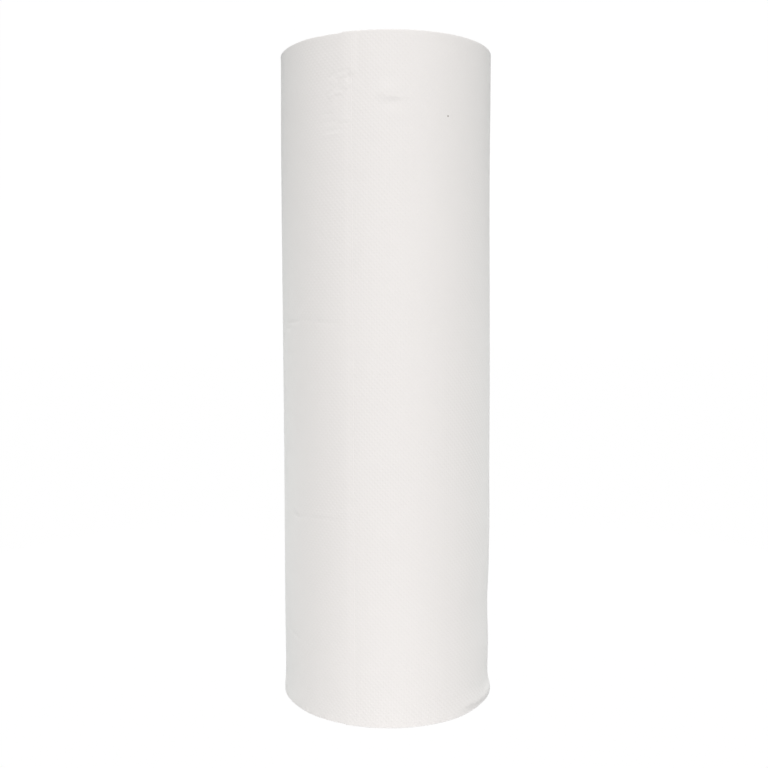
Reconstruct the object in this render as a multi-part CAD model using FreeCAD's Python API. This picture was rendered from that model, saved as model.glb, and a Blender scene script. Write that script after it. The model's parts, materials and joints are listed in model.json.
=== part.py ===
"""Exam table paper roll: one long web of embossed tissue wound on a cardboard core, standing on its end.

The two pieces are the wound paper, whose turns are one solid, and the core tube that it is wound on.
Lengths are in millimetres. The origin is on the roll's axis at the end that it stands on, +Z runs up the
axis, and -Y is the front, the side that shows the paper's free end.
"""

import FreeCAD
import Part
import math
import os

# The wound paper
PAPER_WIDTH = 390.0        # from end to end of the roll
ROLL_DIAMETER = 127.5
RIM_ROUNDING = 1.0         # how far the soft outer turns roll in at both ends
RIM_FLATS = 2              # each rim rolls in by this many flat steps
FREE_END_STEP = 0.4        # the outer sheet's free end stands this far above the turn below it
FREE_END_ANGLE = -106.8    # where the free end lies, in degrees from +X towards +Y

# The spiral of the turns, as it shows on both ends: each modelled turn stands for about seventeen thin ones
TURN_PITCH = 3.8
GROOVE_WIDTH = 1.0
GROOVE_DEPTH = 0.8

# The flared lip at the foot of the outer turns
LIP_ANGLE = -6.0           # its middle, in degrees from +X towards +Y
LIP_HALF_SPAN = 36.0       # degrees from its middle to where it fades out
LIP_REACH = 2.0            # how far it stands out of the roll
LIP_CREST_HEIGHT = 2.2
LIP_TOP_HEIGHT = 7.5
LIP_UNDERCUT = 2.0         # how far it draws in again between its crest and the foot

# The cardboard core
CORE_BORE_DIAMETER = 40.0
CORE_WALL = 1.5

ORIGIN = FreeCAD.Vector(0, 0, 0)
UP = FreeCAD.Vector(0, 0, 1)

roll_radius = ROLL_DIAMETER / 2
core_radius = CORE_BORE_DIAMETER / 2 + CORE_WALL


def point(radius, height):
    """A point of a section, which is drawn in the XZ plane with its radius along +X."""
    return FreeCAD.Vector(radius, 0, height)


def polar(radius, angle):
    """The step from a centre of a section to its circle. The angle is in degrees from +X towards +Z."""
    return point(radius * math.cos(math.radians(angle)), radius * math.sin(math.radians(angle)))


def line(start, end):
    return Part.LineSegment(start, end).toShape()


def arc(centre, radius, start_angle, end_angle):
    """An arc of a section."""
    angles = (start_angle, (start_angle + end_angle) / 2, end_angle)
    return Part.Arc(*(centre + polar(radius, angle) for angle in angles)).toShape()


def outline(corners):
    """A section with straight sides."""
    return Part.Face(Part.makePolygon(corners + corners[:1]))


def half_turn(section, centre_x, back):
    """Carries a section round half a turn about the upright line at centre_x, over +Y or back over -Y."""
    section = section.copy()
    if back:
        section.rotate(ORIGIN, UP, 180)
    section.translate(FreeCAD.Vector(centre_x, 0, 0))
    return section.revolve(FreeCAD.Vector(centre_x, 0, 0), UP, 180)


def rim(centre, start_angle, end_angle):
    """The points where one rolled-in rim bends, in equal steps round the rounding's centre."""
    angles = [start_angle + (end_angle - start_angle) * step / RIM_FLATS for step in range(RIM_FLATS + 1)]
    return [centre + polar(RIM_ROUNDING, angle) for angle in angles]


def rounded_section(radius):
    """Half of the roll's upright section, from the axis out, with both rims rolled in."""
    foot = point(radius - RIM_ROUNDING, RIM_ROUNDING)
    head = point(radius - RIM_ROUNDING, PAPER_WIDTH - RIM_ROUNDING)
    return outline([ORIGIN] + rim(foot, -90, 0) + rim(head, 0, 90) + [point(0, PAPER_WIDTH)])


def wound_body():
    """The roll as a block with its free end along +X.

    Two half turns about centres a quarter of the step each side of the axis make one turn of a spiral: its
    radius shrinks by the whole step on the way round, so the outer sheet ends in a straight upright edge.
    """
    outer_half = half_turn(rounded_section(roll_radius), FREE_END_STEP / 4, back=True)
    inner_half = half_turn(rounded_section(roll_radius - FREE_END_STEP / 2), -FREE_END_STEP / 4, back=False)
    return outer_half.fuse(inner_half)


def groove_section(radius, face_height, into_paper):
    """A vee that cuts one end face at this radius. into_paper is +1 at the foot and -1 at the head."""
    rise = into_paper * GROOVE_DEPTH
    return outline([
        point(radius, face_height + rise),
        point(radius + GROOVE_WIDTH, face_height - rise),
        point(radius - GROOVE_WIDTH, face_height - rise),
    ])


def groove_halves(face_height, into_paper, back):
    """All the half turns of one end's spiral groove that lie over +Y, or those that lie back over -Y."""
    shift = TURN_PITCH / 4 if back else -TURN_PITCH / 4
    outermost = roll_radius - RIM_ROUNDING - GROOVE_WIDTH - (0 if back else TURN_PITCH / 2)
    turns = int((outermost - core_radius - GROOVE_WIDTH) / TURN_PITCH) + 1
    halves = [
        half_turn(groove_section(outermost - turn * TURN_PITCH, face_height, into_paper), shift, back)
        for turn in range(turns)
    ]
    return Part.makeCompound(halves)


def fade_radius(drop, run):
    """The radius of an arc that leaves a crest and drops this far over this run."""
    return (drop**2 + run**2) / (2 * drop)


def flared_lip():
    """A disc with a bulging edge that stands out of the roll on one side only, because it is off centre.

    Its distance from the axis and its own radius are those of the circle that passes LIP_REACH outside the
    roll at LIP_ANGLE and crosses the roll's own circle LIP_HALF_SPAN to each side of that.
    """
    crest = roll_radius + LIP_REACH
    shift = (crest**2 - roll_radius**2) / (2 * (crest - roll_radius * math.cos(math.radians(LIP_HALF_SPAN))))
    disc_radius = crest - shift

    under = fade_radius(LIP_UNDERCUT, LIP_CREST_HEIGHT)
    over = fade_radius(LIP_REACH, LIP_TOP_HEIGHT - LIP_CREST_HEIGHT)
    foot_angle = math.degrees(math.asin(LIP_CREST_HEIGHT / under))
    sunk_angle = math.degrees(math.acos(1 - 1.5 * LIP_REACH / over))
    lower = arc(point(disc_radius - under, LIP_CREST_HEIGHT), under, -foot_angle, 0)
    upper = arc(point(disc_radius - over, LIP_CREST_HEIGHT), over, 0, sunk_angle)
    foot = lower.Vertexes[0].Point
    top = upper.Vertexes[-1].Point
    edges = [
        line(ORIGIN, foot),
        lower,
        upper,
        line(top, point(0, top.z)),
        line(point(0, top.z), ORIGIN),
    ]
    disc = Part.Face(Part.Wire(edges)).revolve(ORIGIN, UP, 360)
    disc.translate(FreeCAD.Vector(shift, 0, 0))
    disc.rotate(ORIGIN, UP, LIP_ANGLE)
    return disc


def paper_roll():
    """All the turns of the paper, as one solid with the spiral of its edges cut into both ends."""
    paper = wound_body()
    grooves = [
        groove_halves(face_height, into_paper, back)
        for face_height, into_paper in ((0, 1), (PAPER_WIDTH, -1))
        for back in (True, False)
    ]
    paper.rotate(ORIGIN, UP, FREE_END_ANGLE)
    paper = paper.fuse(flared_lip())
    paper = paper.cut(Part.makeCylinder(core_radius, PAPER_WIDTH))
    for groove in grooves:
        groove.rotate(ORIGIN, UP, FREE_END_ANGLE)
        paper = paper.cut(groove)
    return paper.removeSplitter()


def cardboard_core():
    """The spiral-wound board tube, cut flush with the paper at both ends."""
    outside = Part.makeCylinder(core_radius, PAPER_WIDTH)
    bore = Part.makeCylinder(CORE_BORE_DIAMETER / 2, PAPER_WIDTH)
    return outside.cut(bore)


def export(name, shape):
    """Writes one piece as one solid to its STEP file."""
    solid = shape.Solids[0]
    solid.exportStep(f"parts/{name}.step")
    print(name, "solids", len(shape.Solids), "valid", solid.isValid(), "volume", round(solid.Volume))


os.makedirs("parts", exist_ok=True)
export("paper_roll", paper_roll())
export("cardboard_core", cardboard_core())
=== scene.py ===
"""Exam table paper roll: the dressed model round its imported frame, with its floor, lamps and camera.

The roll stands on its end. Lengths are in metres unless a name says otherwise. Plan angles are in degrees
from +X towards +Y, and -Y is the front. On the outer turn, "along" is the distance round the sheet from its
free end, clockwise from above, and "up" is the height above the foot.
"""

import json
import math

import bpy
import numpy as np
from mathutils import Euler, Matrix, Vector, noise


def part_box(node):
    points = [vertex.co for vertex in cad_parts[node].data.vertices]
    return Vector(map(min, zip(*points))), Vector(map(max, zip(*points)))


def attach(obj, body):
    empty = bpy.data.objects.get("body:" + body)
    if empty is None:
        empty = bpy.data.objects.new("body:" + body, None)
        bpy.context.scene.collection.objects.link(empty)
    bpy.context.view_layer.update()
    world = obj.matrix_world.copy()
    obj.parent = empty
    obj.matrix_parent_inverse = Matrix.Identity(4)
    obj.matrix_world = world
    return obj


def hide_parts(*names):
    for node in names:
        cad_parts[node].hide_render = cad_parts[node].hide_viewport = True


bl_info = {
    "name": "Exam Table Paper Roll",
    "version": (1, 0, 0),
    "blender": (4, 5, 0),
    "location": "View3D > Sidebar > Paper Roll",
    "description": "Builds a roll of embossed exam table paper on its cardboard core, with a plain studio",
    "category": "Object",
}

MM = 0.001
FULL_TURN = 360.0
WARM = (1.0, 0.949, 0.929)  # the light from the front
COOL = (0.967, 1.0, 0.985)  # the light from all other sides

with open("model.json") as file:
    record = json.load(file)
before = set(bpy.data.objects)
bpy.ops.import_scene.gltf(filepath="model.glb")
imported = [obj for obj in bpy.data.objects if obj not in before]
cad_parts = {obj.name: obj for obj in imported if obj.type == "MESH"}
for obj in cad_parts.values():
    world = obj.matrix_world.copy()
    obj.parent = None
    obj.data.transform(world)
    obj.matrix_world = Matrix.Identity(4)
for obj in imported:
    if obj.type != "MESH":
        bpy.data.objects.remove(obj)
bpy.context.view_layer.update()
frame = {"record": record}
ROLL_LOW, ROLL_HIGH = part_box("paper_roll")
CORE_LOW, CORE_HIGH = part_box("cardboard_core")
BORE = next(mount for mount in frame["record"]["mounts"] if mount["name"] == "core_bore")

HEIGHT = ROLL_HIGH.z - ROLL_LOW.z
ROLL_RADIUS = -ROLL_LOW.x  # the lip stands out on the other side only
CORE_RADIUS = CORE_HIGH.x
BORE_RADIUS = BORE["dims"]["r_mm"] * MM


# Sizes and colours that a user would change

class PaperSizes(bpy.types.PropertyGroup):
    sheet: bpy.props.FloatProperty(
        name="Sheet", description="Thickness of the two-ply sheet",
        default=0.25 * MM, unit="LENGTH", precision=5)
    free_end_step: bpy.props.FloatProperty(
        name="Free end step", description="How far the outer turn draws in on its way round",
        default=0.27 * MM, unit="LENGTH", precision=5)
    free_end_angle: bpy.props.FloatProperty(
        name="Free end angle", description="Plan angle of the free end, in degrees", default=-106.9)
    tucked: bpy.props.FloatProperty(
        name="Tucked under", description="How far the outer turn goes on under its own free end, in degrees",
        default=14.0)
    rim: bpy.props.FloatProperty(
        name="Rim rounding", description="How far the outer turns roll in at the head",
        default=0.2 * MM, unit="LENGTH", precision=5)
    edge_inset: bpy.props.FloatProperty(
        name="Edge inset", description="How far the outer sheet's edges stop short of the roll's ends",
        default=0.05 * MM, unit="LENGTH", precision=5)
    turns: bpy.props.IntProperty(
        name="Turns", description="How many turns of paper show on each end", default=183)
    ridge: bpy.props.FloatProperty(
        name="Ridge", description="How far each turn's edge stands above the gap beside it",
        default=0.11 * MM, unit="LENGTH", precision=5)
    white: bpy.props.FloatVectorProperty(
        name="White", description="Colour of the paper", subtype="COLOR", size=3, min=0, max=1,
        default=(0.842, 0.842, 0.840))
    emboss_across: bpy.props.FloatProperty(
        name="Emboss across", description="Distance round the roll between dots of one row",
        default=2.95 * MM, unit="LENGTH", precision=5)
    emboss_up: bpy.props.FloatProperty(
        name="Emboss up", description="Height between rows of dots that stand one above the other",
        default=3.05 * MM, unit="LENGTH", precision=5)
    emboss_depth: bpy.props.FloatProperty(
        name="Emboss depth", description="How far a dot stands out",
        default=0.034 * MM, unit="LENGTH", precision=5)


class CoreSizes(bpy.types.PropertyGroup):
    strip_lead: bpy.props.FloatProperty(
        name="Strip lead", description="How far one turn of the wound board strip climbs",
        default=104 * MM, unit="LENGTH")
    seam_width: bpy.props.FloatProperty(
        name="Seam width", description="Gap between the edges of the inner board strip",
        default=0.8 * MM, unit="LENGTH", precision=5)
    seam_depth: bpy.props.FloatProperty(
        name="Seam depth", description="Thickness of the inner board strip",
        default=0.35 * MM, unit="LENGTH", precision=5)
    brown: bpy.props.FloatVectorProperty(
        name="Brown", description="Colour of the board", subtype="COLOR", size=3, min=0, max=1,
        default=(0.42, 0.33, 0.24))


class StudioLevels(bpy.types.PropertyGroup):
    air: bpy.props.FloatProperty(
        name="Air", description="Even light from all round", default=0.302)
    front_light: bpy.props.FloatProperty(
        name="Front light", description="Strength of the far soft light above the camera", default=2.56)
    side_power: bpy.props.FloatProperty(
        name="Side lamps", description="Power of the low lamp at the left. The right one has 0.8 of it",
        default=1.27, unit="POWER")
    floor_white: bpy.props.FloatProperty(
        name="Floor white", description="How much of the floor's own shade the camera sees as plain white",
        subtype="FACTOR", min=0, max=1, default=0.96)


# Shapes in numbers

def smooth(low, high, value):
    """0 below low, 1 above high, and an even ease between them."""
    t = np.clip((value - low) / (high - low), 0, 1)
    return t * t * (3 - 2 * t)


def bell(distance, width):
    return np.exp(-((distance / width) ** 2))


def from_front(plan_angle):
    """The angle from the front, -180 to 180 and positive to the right, of a plan angle."""
    return (plan_angle + 90 + 180) % FULL_TURN - 180


# Creases of the outer turn: from and to as (along, up) in millimetres, then height and half width
CREASES = (
    # the crumple by the free end's upper corner
    ((0.4, 369.3), (9.4, 368.6), -0.16, 0.9),
    ((9.4, 368.6), (14.6, 365.8), -0.14, 0.9),
    ((2.0, 366.6), (9.2, 366.0), 0.16, 0.9),
    ((9.2, 366.0), (13.0, 363.4), 0.14, 0.9),
    ((2.8, 364.6), (5.4, 359.6), 0.21, 0.9),
    ((0.4, 362.6), (3.8, 358.8), 0.19, 0.9),
    ((0.1, 360.2), (1.8, 358.0), -0.14, 0.9),
    ((8.4, 364.4), (13.4, 359.4), 0.19, 0.9),
    ((7.0, 362.6), (10.2, 359.4), -0.14, 0.9),
    ((5.2, 357.6), (10.6, 357.4), 0.14, 0.9),
    ((10.6, 357.4), (14.2, 355.4), 0.16, 0.9),
    ((5.0, 355.6), (10.4, 355.7), -0.11, 0.9),
    ((12.4, 359.8), (15.8, 358.8), 0.15, 0.9),
    ((9.6, 351.8), (13.6, 347.4), 0.11, 0.9),
    # the swelling's sharp lower side, right of the free end
    ((385.2, 357.2), (382.2, 354.6), 0.10, 0.9),
    ((382.6, 354.6), (370.4, 353.9), 0.15, 0.9),
    ((381.0, 351.8), (372.0, 351.4), -0.06, 0.9),
    # a shallow fold just below the rim
    ((2.5, 383.2), (22.0, 381.4), -0.14, 1.0),
    # level wrinkles below the crumple
    ((11.5, 346.9), (20.5, 346.4), -0.09, 0.8),
    ((1.0, 343.2), (8.0, 343.0), 0.09, 0.8),
    ((9.0, 342.4), (21.0, 341.6), -0.11, 0.8),
    ((1.5, 340.6), (9.0, 340.4), -0.09, 0.8),
    ((2.0, 337.8), (17.0, 337.0), -0.12, 0.8),
    ((6.0, 335.8), (20.0, 334.6), 0.11, 0.8),
    # the long crease more than half way up, deepest at its far left
    ((8.0, 230.6), (27.0, 231.6), -0.15, 0.9),
    ((27.0, 231.6), (37.0, 233.4), -0.18, 0.9),
    ((37.0, 232.2), (60.0, 230.4), -0.42, 1.1),
    ((48.0, 228.6), (60.0, 226.8), -0.35, 1.6),
    ((24.0, 244.2), (32.0, 243.6), 0.10, 1.0),
    ((34.0, 240.6), (38.6, 234.6), 0.10, 1.0),
    # the long faint crease below it, with a sharp kink near its left end
    ((8.5, 119.0), (31.5, 118.4), -0.09, 0.9),
    ((8.5, 121.2), (31.5, 120.7), 0.06, 1.0),
    ((31.5, 118.4), (41.0, 116.8), -0.11, 0.9),
    ((41.0, 118.6), (49.0, 122.6), 0.17, 1.0),
    ((39.0, 116.2), (50.0, 117.6), -0.22, 1.3),
    # short slanting creases low down at the side
    ((50.0, 74.4), (62.4, 83.0), -0.24, 0.9),
    ((39.0, 42.6), (61.0, 46.0), -0.20, 0.9),
    ((48.0, 32.4), (56.0, 33.0), -0.14, 0.9),
    ((6.0, 47.8), (15.6, 46.8), -0.07, 0.9),
)

# Broad hollows and swells of the soft side: angle from the front, height, half widths of each, and depth
SWELLS = (
    (1.3, 357.2, 5.5, 4.8, 0.34),
    (2.6, 350.8, 5.5, 2.4, -0.12),
    (3.4, 344.8, 7.0, 3.4, 0.07),
    (84.0, 112.0, 40.0, 22.0, 0.40),
    (84.0, 185.0, 40.0, 45.0, 0.25),
    (84.0, 310.0, 40.0, 50.0, -0.40),
    (84.0, 56.0, 34.0, 16.0, -0.75),
    (84.0, 15.0, 34.0, 12.0, -0.50),
    (-84.0, 55.0, 40.0, 60.0, 0.38),
    (-84.0, 0.0, 30.0, 10.0, 0.75),
    (-84.0, 398.0, 40.0, 45.0, -0.60),
)

# The speck of dirt: how far round from the front, in degrees to the right, its height, size and colour
SPECK_ANGLE = 33.2
SPECK_HEIGHT = 345.3 * MM
SPECK_RADIUS = 0.3 * MM
SPECK_FADE = 0.45 * MM
SPECK_COLOUR = (0.24, 0.21, 0.19)


def crease_rise(along, up, start, end, height, half_width):
    """How far one straight crease lifts the sheet: a sharp fold that dies away to both sides and ends."""
    run = np.subtract(end, start)
    length = np.hypot(*run)
    run = run / length
    ahead = (along - start[0]) * run[0] + (up - start[1]) * run[1]
    aside = (up - start[1]) * run[0] - (along - start[0]) * run[1]
    ends = smooth(-0.5, 0.25 * length, ahead) * smooth(-0.5, 0.25 * length, length - ahead)
    return height * ends * np.exp(-np.abs(aside) / half_width)


def slack(front_angle, up):
    """The broad hollows and swells, in millimetres outward."""
    rise = np.zeros_like(up)
    for angle, level, half_angle, half_height, depth in SWELLS:
        turned = (front_angle - angle + 180) % FULL_TURN - 180
        rise += depth * bell(turned, half_angle) * bell(up - level, half_height)
    return rise


def lip_rise(front_angle, up):
    """The worn foot at the right, in millimetres outward: a fold that turns under, then a flared lip."""
    fold = smooth(40, 54, front_angle) * (1 - smooth(78, 92, front_angle))
    level = up + np.interp(front_angle, (50, 57, 65, 70, 75, 80), (0.9, 1.8, 2.6, 2.0, 1.1, 0.7))
    turned_under = np.interp(
        level, (0, 1, 3, 4, 5, 6, 7.5, 9.5, 13), (-0.50, -0.48, -0.40, -0.22, 0.13, 0.36, 0.4, 0.24, 0))
    flare = smooth(62, 82, front_angle) * (1 - smooth(98, 122, front_angle))
    flare *= 1 - 0.5 * smooth(82, 92, front_angle)
    lip = np.interp(up, (0, 1, 2, 3, 4.5, 6.5, 9, 12), (1.2, 1.5, 1.7, 1.6, 1.2, 0.7, 0.25, 0))
    return fold * turned_under + flare * lip


def corner_lift(across, up):
    """How far the free end's upper corner stands off, and the turn below it with it. In millimetres."""
    slope = np.where(across < 0, np.clip(1 + across / 3.6, 0, 1), bell(across, 8.0))
    return 0.35 * slope * smooth(365.5, 369.0, up)


def crushed(front_angle, side):
    """How far the outer turns are crushed at the head or foot, left of the free end. In millimetres."""
    left = -front_angle
    step = 0.4 * smooth(21.0, 22.6, left)
    if side > 0:
        return step * (1 - smooth(24, 46, left))
    return (step + 0.7 * smooth(44, 66, left)) * (1 - smooth(92, 125, left))


def rim_drop(inward, front_angle, rounding, side):
    """How far below the roll's end a turn's edge lies, this far inside the outer face. All in metres."""
    depth = np.clip(inward / rounding, 0, 1)
    rounded = rounding * (1 - np.sqrt(1 - (1 - depth) ** 2))
    crush = crushed(front_angle, side) * MM * (1 - smooth(4 * MM, 9 * MM, inward))
    return rounded + crush


def grid_faces(rows, columns):
    """The quads of a grid whose vertices are stored row by row."""
    corner = (np.arange(rows - 1)[:, None] * columns + np.arange(columns - 1)).ravel()
    return np.stack([corner, corner + 1, corner + columns + 1, corner + columns], 1)


def mesh_object(name, points, faces, material, smooth_shaded=True):
    mesh = bpy.data.meshes.new(name)
    mesh.from_pydata(points, [], faces)
    mesh.polygons.foreach_set("use_smooth", [smooth_shaded] * len(mesh.polygons))
    mesh.materials.append(material)
    mesh.update()
    piece = bpy.data.objects.new(name, mesh)
    bpy.context.scene.collection.objects.link(piece)
    return piece


def stand_in(piece, node):
    """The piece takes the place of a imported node, and rides where it rode."""
    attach(piece, "root")
    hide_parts(node)


# Materials

def new_group(name, inputs, outputs):
    """An empty shader group with its sockets, given as (name, kind, default), and its two end nodes."""
    group = bpy.data.node_groups.new(name, "ShaderNodeTree")
    for direction, sockets in (("INPUT", inputs), ("OUTPUT", outputs)):
        for label, kind, default in sockets:
            made = group.interface.new_socket(name=label, in_out=direction, socket_type="NodeSocket" + kind)
            if default is not None:
                made.default_value = default
    return group, group.nodes.new("NodeGroupInput"), group.nodes.new("NodeGroupOutput")


def math_node(tree, operation, first, second=None):
    """A math node. Each operand is a socket to link or a number to set."""
    node = tree.nodes.new("ShaderNodeMath")
    node.operation = operation
    for socket, value in zip(node.inputs, (first, second)):
        if isinstance(value, bpy.types.NodeSocket):
            tree.links.new(value, socket)
        elif value is not None:
            socket.default_value = value
    return node.outputs[0]


def fibre_group():
    """Short matted fibres: a fleck of shade in the colour and a fine grain in the height."""
    group, start, end = new_group(
        "Matted fibres",
        (("Vector", "Vector", None), ("Colour", "Color", (1, 1, 1, 1)), ("Fleck", "Float", 0.03),
         ("Fineness", "Float", 900.0)),
        (("Colour", "Color", None), ("Height", "Float", None)),
    )
    link = group.links.new
    fibres = group.nodes.new("ShaderNodeTexNoise")
    fibres.inputs["Detail"].default_value = 5.0
    fibres.inputs["Roughness"].default_value = 0.62
    link(start.outputs["Vector"], fibres.inputs["Vector"])
    link(start.outputs["Fineness"], fibres.inputs["Scale"])
    clouds = group.nodes.new("ShaderNodeTexNoise")
    clouds.inputs["Scale"].default_value = 26.0
    clouds.inputs["Detail"].default_value = 3.0
    link(start.outputs["Vector"], clouds.inputs["Vector"])
    both = math_node(group, "ADD", fibres.outputs["Fac"], clouds.outputs["Fac"])
    swing = math_node(group, "MULTIPLY", math_node(group, "SUBTRACT", both, 1.0), start.outputs["Fleck"])
    shade = math_node(group, "ADD", swing, 1.0)
    tint = group.nodes.new("ShaderNodeVectorMath")
    tint.operation = "SCALE"
    link(start.outputs["Colour"], tint.inputs[0])
    link(shade, tint.inputs["Scale"])
    link(tint.outputs["Vector"], end.inputs["Colour"])
    link(fibres.outputs["Fac"], end.inputs["Height"])
    return group


def new_material(name, roughness):
    """A material with its Principled BSDF and Object coordinates at hand."""
    material = bpy.data.materials.new(name)
    material.use_nodes = True
    tree = material.node_tree
    shader = tree.nodes["Principled BSDF"]
    shader.inputs["Roughness"].default_value = roughness
    shader.inputs["Specular IOR Level"].default_value = 0.5
    place = tree.nodes.new("ShaderNodeTexCoord").outputs["Object"]
    return material, tree, shader, place


def add_fibres(tree, place, colour, fleck, fineness):
    node = tree.nodes.new("ShaderNodeGroup")
    node.node_tree = bpy.data.node_groups.get("Matted fibres") or fibre_group()
    tree.links.new(place, node.inputs["Vector"])
    node.inputs["Colour"].default_value = (*colour, 1)
    node.inputs["Fleck"].default_value = fleck
    node.inputs["Fineness"].default_value = fineness
    return node.outputs["Colour"], node.outputs["Height"]


def add_bump(tree, shader, height, depth, beneath=None):
    """Feeds the shader's normal from a height of 0 to 1 that stands for this depth in metres."""
    bump = tree.nodes.new("ShaderNodeBump")
    bump.inputs["Distance"].default_value = depth
    tree.links.new(height, bump.inputs["Height"])
    if beneath is not None:
        tree.links.new(beneath, bump.inputs["Normal"])
    tree.links.new(bump.outputs["Normal"], shader.inputs["Normal"])
    return bump.outputs["Normal"]


def embossed_tissue(sizes):
    """The sheet's face: white tissue with staggered raised dots, and one tiny speck of dirt."""
    material, tree, shader, place = new_material("embossed_tissue", 0.92)
    colour, grain = add_fibres(tree, place, sizes.white, 0.022, 900.0)
    sheet = tree.nodes.new("ShaderNodeUVMap")
    sheet.uv_map = "sheet"
    split = tree.nodes.new("ShaderNodeSeparateXYZ")
    tree.links.new(sheet.outputs["UV"], split.inputs["Vector"])
    waves = [
        math_node(tree, "COSINE", math_node(tree, "MULTIPLY", split.outputs[axis], math.tau / period))
        for axis, period in (("X", sizes.emboss_across), ("Y", sizes.emboss_up))
    ]
    lattice = math_node(tree, "MULTIPLY", *waves)
    dots = tree.nodes.new("ShaderNodeMapRange")
    dots.interpolation_type = "SMOOTHSTEP"
    dots.inputs["From Min"].default_value = -0.1
    dots.inputs["From Max"].default_value = 0.9
    tree.links.new(lattice, dots.inputs["Value"])
    rough = add_bump(tree, shader, grain, 0.03 * MM)
    add_bump(tree, shader, dots.outputs["Result"], sizes.emboss_depth, rough)

    apart = tree.nodes.new("ShaderNodeVectorMath")
    apart.operation = "DISTANCE"
    tree.links.new(place, apart.inputs[0])
    angle = math.radians(SPECK_ANGLE)
    apart.inputs[1].default_value = (
        ROLL_RADIUS * math.sin(angle), -ROLL_RADIUS * math.cos(angle), SPECK_HEIGHT)
    speck = tree.nodes.new("ShaderNodeMapRange")
    speck.inputs["From Min"].default_value = SPECK_RADIUS
    speck.inputs["From Max"].default_value = SPECK_RADIUS + SPECK_FADE
    speck.inputs["To Min"].default_value = 1.0
    speck.inputs["To Max"].default_value = 0.0
    tree.links.new(apart.outputs["Value"], speck.inputs["Value"])
    soiled = tree.nodes.new("ShaderNodeMix")
    soiled.data_type = "RGBA"
    tree.links.new(speck.outputs["Result"], soiled.inputs["Factor"])
    tree.links.new(colour, soiled.inputs["A"])
    soiled.inputs["B"].default_value = (*SPECK_COLOUR, 1)
    tree.links.new(soiled.outputs["Result"], shader.inputs["Base Color"])
    return material


def turn_edges(sizes):
    """The cut edges of the turns on both ends: the same white, with fuzz."""
    material, tree, shader, place = new_material("turn_edges", 0.96)
    colour, grain = add_fibres(tree, place, sizes.white, 0.06, 1400.0)
    tree.links.new(colour, shader.inputs["Base Color"])
    add_bump(tree, shader, grain, 0.08 * MM)
    return material


def core_board(sizes):
    """Plain greyish brown board with its pressed fibres."""
    material, tree, shader, place = new_material("core_board", 0.85)
    colour, grain = add_fibres(tree, place, sizes.brown, 0.22, 700.0)
    tree.links.new(colour, shader.inputs["Base Color"])
    add_bump(tree, shader, grain, 0.06 * MM)
    return material


# Pieces

def stretches(*parts):
    """Values along a line, in stretches given as (from, to, step)."""
    values = [parts[0][0]]
    for start, stop, step in parts:
        count = max(1, round((stop - start) / step))
        values.extend(start + (stop - start) * k / count for k in range(1, count + 1))
    return np.array(values)


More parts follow.
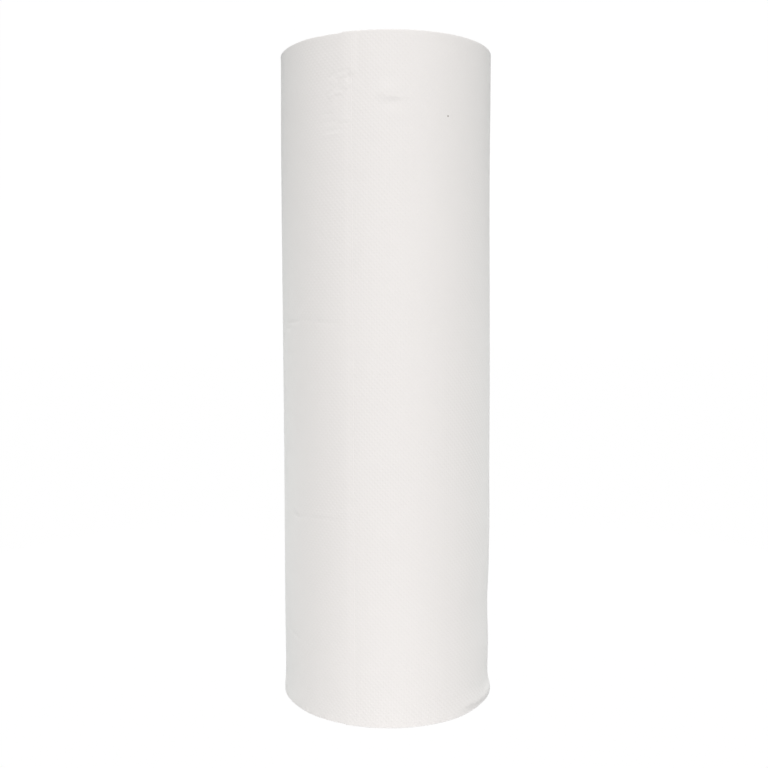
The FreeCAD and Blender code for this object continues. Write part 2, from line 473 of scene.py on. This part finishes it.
class ROLL_OT_outer_turn(bpy.types.Operator):
    """Adds the outer turn of paper, with its free end, creases, dimple and flared lip"""

    bl_idname = "roll.outer_turn"
    bl_label = "Outer Turn"

    def execute(self, context):
        sizes = context.scene.roll_paper
        turned, up = self.grid(sizes)
        outside = self.surface(sizes, turned, up, 0.0)
        inside = self.surface(sizes, turned, up, sizes.sheet)
        rows, columns = turned.shape
        faces = self.closed_faces(rows, columns)
        piece = mesh_object(
            "outer_turn", np.vstack([outside, inside]).tolist(), faces.tolist(), embossed_tissue(sizes))
        self.lay_out(piece.data, turned, up)
        stand_in(piece, "paper_roll")
        return {"FINISHED"}

    def grid(self, sizes):
        """Degrees turned from the free end and height in millimetres, closest where there are marks."""
        turned = stretches(
            (0, 0.1, 0.1), (0.1, 14, 0.556), (14, 62, 0.85), (62, 90, 2), (90, 220, 5), (220, 300, 1.6),
            (300, 332, 2.7), (332, 352, 1.25), (352, 363, 0.7), (363, FULL_TURN + sizes.tucked, 3.7))
        inset = sizes.edge_inset / MM
        height = HEIGHT / MM
        up = stretches(
            (inset, inset + 0.1, 0.1), (inset + 0.1, 8, 0.56), (8, 12, 1.0), (12, 30, 3.6), (30, 50, 1),
            (50, 72, 3.7), (72, 86, 1), (86, 113, 5.4), (113, 125, 0.8), (125, 225, 5), (225, 246, 0.9),
            (246, 332, 5.4), (332, 344, 0.85), (344, 371, 0.65), (371, height - 6, 2),
            (height - 6, height - inset - 0.1, 0.7), (height - inset - 0.1, height - inset, 0.1))
        return np.meshgrid(turned, up)

    def surface(self, sizes, turned, up, inward):
        """Points of the sheet at this depth below its outer face."""
        front_angle = from_front(sizes.free_end_angle - turned)
        height = HEIGHT / MM
        inset = sizes.edge_inset / MM
        along = turned * math.radians(1) * ROLL_RADIUS / MM
        rise = slack(front_angle, up) + lip_rise(front_angle, up)
        for start, end, lift, half_width in CREASES:
            rise += crease_rise(along, up, start, end, lift, half_width)
        rise += corner_lift(np.where(turned > 180, along - math.tau * ROLL_RADIUS / MM, along), up)
        rise -= 0.5 * smooth(FULL_TURN + 0.3, FULL_TURN + 3.5, turned)  # tucked under the free end
        rise -= 0.2 * (1 - smooth(0, 5.0, along)) * (1 - inward / sizes.sheet)  # thin at the free end

        level = up - crushed(front_angle, 1) * smooth(height - 15, height - 2, up)
        level = level + crushed(front_angle, -1) * (1 - smooth(inset, 12, up))
        radius = ROLL_RADIUS - sizes.free_end_step * turned / FULL_TURN + rise * MM - inward
        rounding = sizes.rim / MM
        reach = np.clip(up - (height - rounding), 0, rounding)
        radius -= (rounding - np.sqrt(rounding**2 - reach**2)) * MM
        angle = np.radians(sizes.free_end_angle - turned)
        points = np.stack([radius * np.cos(angle), radius * np.sin(angle), level * MM], -1)
        return points.reshape(-1, 3)

    def closed_faces(self, rows, columns):
        """The two faces of the sheet and the strips that join their edges."""
        outer = grid_faces(rows, columns)
        count = rows * columns
        number = np.arange(count).reshape(rows, columns)
        rim = np.concatenate([number[0, :-1], number[:-1, -1], number[-1, :0:-1], number[:0:-1, 0]])
        after = np.roll(rim, -1)
        strip = np.stack([after, rim, rim + count, after + count], 1)
        return np.concatenate([outer[:, ::-1], outer + count, strip[:, ::-1]])

    def lay_out(self, mesh, turned, up):
        """A flat layout of the sheet in metres, which the emboss follows."""
        flat = np.stack([turned * math.radians(1) * ROLL_RADIUS, up * MM], -1).reshape(-1, 2)
        flat = np.vstack([flat, flat])
        corners = np.empty(len(mesh.loops), dtype=np.int32)
        mesh.loops.foreach_get("vertex_index", corners)
        mesh.uv_layers.new(name="sheet").data.foreach_set("uv", flat[corners].ravel())


class ROLL_OT_wound_turns(bpy.types.Operator):
    """Adds the turns below the outer one, whose edges show as one fine spiral on both ends"""

    bl_idname = "roll.wound_turns"
    bl_label = "Wound Turns"

    steps = 124                  # round one turn
    outer_gap = 0.65 * MM        # from the roll's outside to the last of these turns
    side_inset = 2.5 * MM        # how far the hidden wall below the outer turn lies inside it
    side_drop = 8 * MM           # and how far from the ends

    def execute(self, context):
        sizes = context.scene.roll_paper
        self.rings = 2 * sizes.turns
        head = self.end_points(sizes, 1)
        foot = self.end_points(sizes, -1)
        points, walls = self.close(head, foot)
        number = self.numbers()
        corners = (number[:-1, :-1], number[1:, :-1], number[1:, 1:], number[:-1, 1:])
        flat = np.stack([corner.ravel() for corner in corners], 1)
        faces = flat.tolist() + (flat[:, ::-1] + len(head)).tolist() + walls
        piece = mesh_object("wound_turns", points.tolist(), faces, turn_edges(sizes), smooth_shaded=False)
        stand_in(piece, "paper_roll")
        return {"FINISHED"}

    def numbers(self):
        """Vertex numbers by ring and step. A ring's last step is the first of the ring a turn further out."""
        number = np.arange((self.rings + 1) * self.steps).reshape(self.rings + 1, self.steps)
        last = np.append(number[2:, 0], [number.size, number.size + 1])
        return np.column_stack([number, last])

    def end_points(self, sizes, side):
        """One end of the spiral: side is 1 at the head, -1 at the foot. Odd rings are gaps between turns."""
        pitch = (ROLL_RADIUS - self.outer_gap - CORE_RADIUS) / sizes.turns
        ring, step = np.mgrid[0:self.rings + 1, 0:self.steps + 1]
        turn = ring / 2 + step / self.steps
        plan_angle = sizes.free_end_angle + FULL_TURN * step / self.steps
        angle = np.radians(plan_angle)
        radius = CORE_RADIUS + pitch * np.minimum(turn, sizes.turns + step / self.steps)
        front_angle = from_front(plan_angle)

        uneven = np.array([
            self.unevenness(t, a, side) for t, a in zip(turn.ravel(), angle.ravel())
        ]).reshape(turn.shape)
        inward = ROLL_RADIUS - radius
        drop = rim_drop(inward, front_angle, sizes.rim, side) + uneven * MM + sizes.ridge * (ring % 2)
        if side < 0:
            near = bell(inward / MM, 3.0)
            radius = radius + near * lip_rise(front_angle, np.full_like(radius, 0.4)) * MM
            lipped = smooth(44, 76, front_angle) * (1 - smooth(92, 122, front_angle))
            drop = drop * (1 - lipped * near) + 0.15 * MM * lipped * near
        level = HEIGHT - drop if side > 0 else drop
        points = np.stack([radius * np.cos(angle), radius * np.sin(angle), level], -1)
        number = self.numbers()
        out = np.empty((number.max() + 1, 3))
        out[number] = points
        return out

    def unevenness(self, turn, angle, side):
        """How far a turn's edge lies below the end, in millimetres: by turns, by bands and by broad areas."""
        x, y = math.cos(angle), math.sin(angle)
        single = noise.noise((turn * 1.3, 0.8 * x, 0.8 * y + 9 * side))
        band = noise.noise((turn * 0.21, 1.1 * x + 5, 1.1 * y + 9 * side))
        broad = noise.noise((turn * 0.03, 1.4 * x + 11, 1.4 * y + 9 * side))
        return max(0.0, 0.16 + 0.12 * single + 0.20 * band + 0.14 * broad)

    def close(self, head, foot):
        """Adds the hidden walls at the core and below the outer turn, which draws in behind the rims."""
        number = self.numbers()
        inner = np.concatenate([number[0], [number[1, 0]]])
        outer = np.concatenate([number[-1], [number[-2, -1]]])
        walls, extra = [], []
        total = len(head) + len(foot)
        for loop, inset in ((inner, 0.0), (outer, self.side_inset)):
            ladders = [loop]
            for level in (HEIGHT - self.side_drop, self.side_drop):
                plan = head[loop, :2]
                plan = plan * (1 - inset / np.linalg.norm(plan, axis=1))[:, None]
                extra.append(np.column_stack([plan, np.full(len(loop), level)]))
                ladders.append(np.arange(total, total + len(loop)))
                total += len(loop)
            ladders.append(loop + len(head))
            for high, low in zip(ladders, ladders[1:]):
                quads = np.stack([high, low, np.roll(low, -1), np.roll(high, -1)], 1)
                walls.extend((quads if loop is outer else quads[:, ::-1]).tolist())
        return np.vstack([head, foot, *extra]), walls


class ROLL_OT_core(bpy.types.Operator):
    """Adds the board tube that the paper is wound on, with the open seam of its inner strip"""

    bl_idname = "roll.core"
    bl_label = "Cardboard Core"

    steps = 120             # round the tube
    worn = 0.2 * MM         # how far its edges are worn
    past_ends = 20 * MM     # how far the cut for the seam goes on past each end
    cut_angle = 0.013       # where the cut starts, in radians, away from the tube's own corners

    def execute(self, context):
        sizes = context.scene.roll_core
        board = core_board(sizes)
        tube = self.tube(board)
        seam = self.seam(sizes, board)
        cut = tube.modifiers.new("seam", "BOOLEAN")
        cut.operation = "DIFFERENCE"
        cut.object = seam
        cut.solver = "EXACT"
        graph = context.evaluated_depsgraph_get()
        mesh = bpy.data.meshes.new_from_object(tube.evaluated_get(graph))
        if len(mesh.polygons) <= len(tube.data.polygons):
            raise RuntimeError("the core's seam was not cut")
        tube.modifiers.clear()
        tube.data = mesh
        bpy.data.objects.remove(seam)
        stand_in(tube, "cardboard_core")
        return {"FINISHED"}

    def tube(self, board):
        """The tube's section, with slightly worn edges, carried round the axis."""
        worn, low, high = self.worn, CORE_LOW.z, CORE_HIGH.z
        section = (
            (BORE_RADIUS, low + worn), (BORE_RADIUS + worn, low), (CORE_RADIUS - worn, low),
            (CORE_RADIUS, low + worn), (CORE_RADIUS, high - worn), (CORE_RADIUS - worn, high),
            (BORE_RADIUS + worn, high), (BORE_RADIUS, high - worn),
        )
        points, faces = [], []
        for step in range(self.steps):
            angle = math.tau * step / self.steps
            points += [(r * math.cos(angle), r * math.sin(angle), z) for r, z in section]
        size, total = len(section), len(section) * self.steps
        for step in range(self.steps):
            for k in range(size):
                a, b = step * size + k, step * size + (k + 1) % size
                faces.append((a, (a + size) % total, (b + size) % total, b))
        return mesh_object("core_tube", points, faces, board, smooth_shaded=False)

    def seam(self, sizes, board):
        """A square ribbon that winds up the bore's wall, to be cut away."""
        count = round((HEIGHT + 2 * self.past_ends) / sizes.strip_lead * self.steps)
        half = sizes.seam_width / 2
        inner, outer = BORE_RADIUS - 1 * MM, BORE_RADIUS + sizes.seam_depth
        points, faces = [], []
        for step in range(count + 1):
            angle = math.tau * step / self.steps + self.cut_angle
            level = CORE_LOW.z - self.past_ends + sizes.strip_lead * step / self.steps
            for radius, rise in ((inner, -half), (outer, -half), (outer, half), (inner, half)):
                points.append((radius * math.cos(angle), radius * math.sin(angle), level + rise))
        for step in range(count):
            for k in range(4):
                a, b = 4 * step + k, 4 * step + (k + 1) % 4
                faces.append((a, b, b + 4, a + 4))
        faces += [(3, 2, 1, 0), tuple(4 * count + k for k in range(4))]
        return mesh_object("seam", points, faces, board)


# Stage

def white_to_camera(tree, share):
    """This share for rays that show the studio itself, in the camera or in a gloss, and 0 for its light."""
    path = tree.nodes.new("ShaderNodeLightPath")
    seen = math_node(tree, "MAXIMUM", path.outputs["Is Camera Ray"], path.outputs["Is Glossy Ray"])
    seen = math_node(tree, "MAXIMUM", seen, path.outputs["Is Transmission Ray"])
    return math_node(tree, "MULTIPLY", seen, share)


class ROLL_OT_stage(bpy.types.Operator):
    """Adds the white floor, the even light round it, the lamps and the camera"""

    bl_idname = "roll.stage"
    bl_label = "Stage"

    def execute(self, context):
        levels = context.scene.roll_studio
        self.floor(levels)
        self.air(context.scene, levels)
        front = self.lamp("front_light", "SUN", levels.front_light, (0.26, -5.0, 3.5), (0, 0, 0))
        front.angle = math.radians(20)
        front.color = WARM
        aside, behind, level = 0.424, 0.265, 0.08
        for name, side, share in (("left_lamp", -1, 1.0), ("right_lamp", 1, 0.8)):
            place = (side * aside, behind, level)
            lamp = self.lamp(name, "AREA", levels.side_power * share, place, (0, 0, level))
            lamp.size = 0.3
            lamp.color = COOL
        self.camera(context.scene)
        return {"FINISHED"}

    def floor(self, levels):
        """A floor that sweeps up into a backdrop far behind the roll."""
        points, faces = [], []
        half_width, near, far, bend, top, steps = 6.0, -4.0, 4.0, 2.0, 6.0, 16
        section = [(near, 0.0), (far, 0.0)]
        for step in range(1, steps + 1):
            angle = math.radians(90) * step / steps
            section.append((far + bend * math.sin(angle), bend * (1 - math.cos(angle))))
        section.append((far + bend, top))
        for y, z in section:
            points += [(-half_width, y, z), (half_width, y, z)]
        for k in range(len(section) - 1):
            faces.append((2 * k, 2 * k + 1, 2 * k + 3, 2 * k + 2))
        material = bpy.data.materials.new("white_floor")
        material.use_nodes = True
        tree = material.node_tree
        shader = tree.nodes["Principled BSDF"]
        shader.inputs["Base Color"].default_value = (0.5, 0.5, 0.5, 1)
        shader.inputs["Roughness"].default_value = 1.0
        shader.inputs["Specular IOR Level"].default_value = 0.0
        glow = tree.nodes.new("ShaderNodeEmission")
        glow.inputs["Strength"].default_value = 1.025  # with the shade that is left, as white as the air
        mix = tree.nodes.new("ShaderNodeMixShader")
        tree.links.new(white_to_camera(tree, levels.floor_white), mix.inputs[0])
        tree.links.new(shader.outputs[0], mix.inputs[1])
        tree.links.new(glow.outputs[0], mix.inputs[2])
        tree.links.new(mix.outputs[0], tree.nodes["Material Output"].inputs["Surface"])
        mesh_object("floor", points, faces, material)

    def air(self, scene, levels):
        world = bpy.data.worlds.new("studio_air")
        scene.world = world
        world.use_nodes = True
        tree = world.node_tree
        background = tree.nodes["Background"]
        shade = tree.nodes.new("ShaderNodeMix")
        shade.data_type = "RGBA"
        shade.inputs["A"].default_value = (*COOL, 1)
        shade.inputs["B"].default_value = (1, 1, 1, 1)
        tree.links.new(white_to_camera(tree, 1.0), shade.inputs["Factor"])
        tree.links.new(shade.outputs["Result"], background.inputs["Color"])
        seen = white_to_camera(tree, 1.0 - levels.air)
        tree.links.new(math_node(tree, "ADD", seen, levels.air), background.inputs["Strength"])

    def lamp(self, name, kind, strength, place, target):
        data = bpy.data.lights.new(name, kind)
        data.energy = strength
        lamp = bpy.data.objects.new(name, data)
        lamp.location = place
        lamp.rotation_euler = (Vector(target) - Vector(place)).to_track_quat("-Z", "Y").to_euler()
        lamp.visible_camera = False
        bpy.context.scene.collection.objects.link(lamp)
        return data

    def camera(self, scene):
        """Close in front, a little over half way up the roll, and tipped slightly down."""
        data = bpy.data.cameras.new("camera")
        data.lens = 45.445
        data.shift_x = 0.0326
        data.sensor_width = 36.0
        camera = bpy.data.objects.new("camera", data)
        camera.location = (0, -0.6015, 0.2364)
        pan, down, roll = (math.radians(angle) for angle in (1.617, 4.166, -0.305))
        panned = Euler((0, 0, pan)).to_matrix()
        tipped = Euler((math.radians(90) - down, 0, 0)).to_matrix()
        rolled = Euler((0, 0, roll)).to_matrix()
        camera.rotation_euler = (panned @ tipped @ rolled).to_euler()
        scene.collection.objects.link(camera)
        scene.camera = camera
        scene.view_settings.view_transform = "Standard"


PIECES = (ROLL_OT_outer_turn, ROLL_OT_wound_turns, ROLL_OT_core, ROLL_OT_stage)


class ROLL_PT_pieces(bpy.types.Panel):
    """Lists the roll's pieces and their sizes"""

    bl_idname = "ROLL_PT_pieces"
    bl_label = "Paper Roll"
    bl_space_type = "VIEW_3D"
    bl_region_type = "UI"
    bl_category = "Paper Roll"

    def draw(self, context):
        for piece in PIECES:
            self.layout.operator(piece.bl_idname)
        for settings in (context.scene.roll_paper, context.scene.roll_core, context.scene.roll_studio):
            box = self.layout.box()
            for key in settings.bl_rna.properties.keys():
                if key not in ("rna_type", "name"):
                    box.prop(settings, key)


CLASSES = (PaperSizes, CoreSizes, StudioLevels, *PIECES, ROLL_PT_pieces)


def register():
    for kind in CLASSES:
        bpy.utils.register_class(kind)
    bpy.types.Scene.roll_paper = bpy.props.PointerProperty(type=PaperSizes)
    bpy.types.Scene.roll_core = bpy.props.PointerProperty(type=CoreSizes)
    bpy.types.Scene.roll_studio = bpy.props.PointerProperty(type=StudioLevels)


def unregister():
    del bpy.types.Scene.roll_paper, bpy.types.Scene.roll_core, bpy.types.Scene.roll_studio
    for kind in reversed(CLASSES):
        bpy.utils.unregister_class(kind)


def main():
    register()
    bpy.ops.roll.outer_turn()
    bpy.ops.roll.wound_turns()
    bpy.ops.roll.core()
    bpy.ops.roll.stage()


if __name__ == "__main__":
    main()
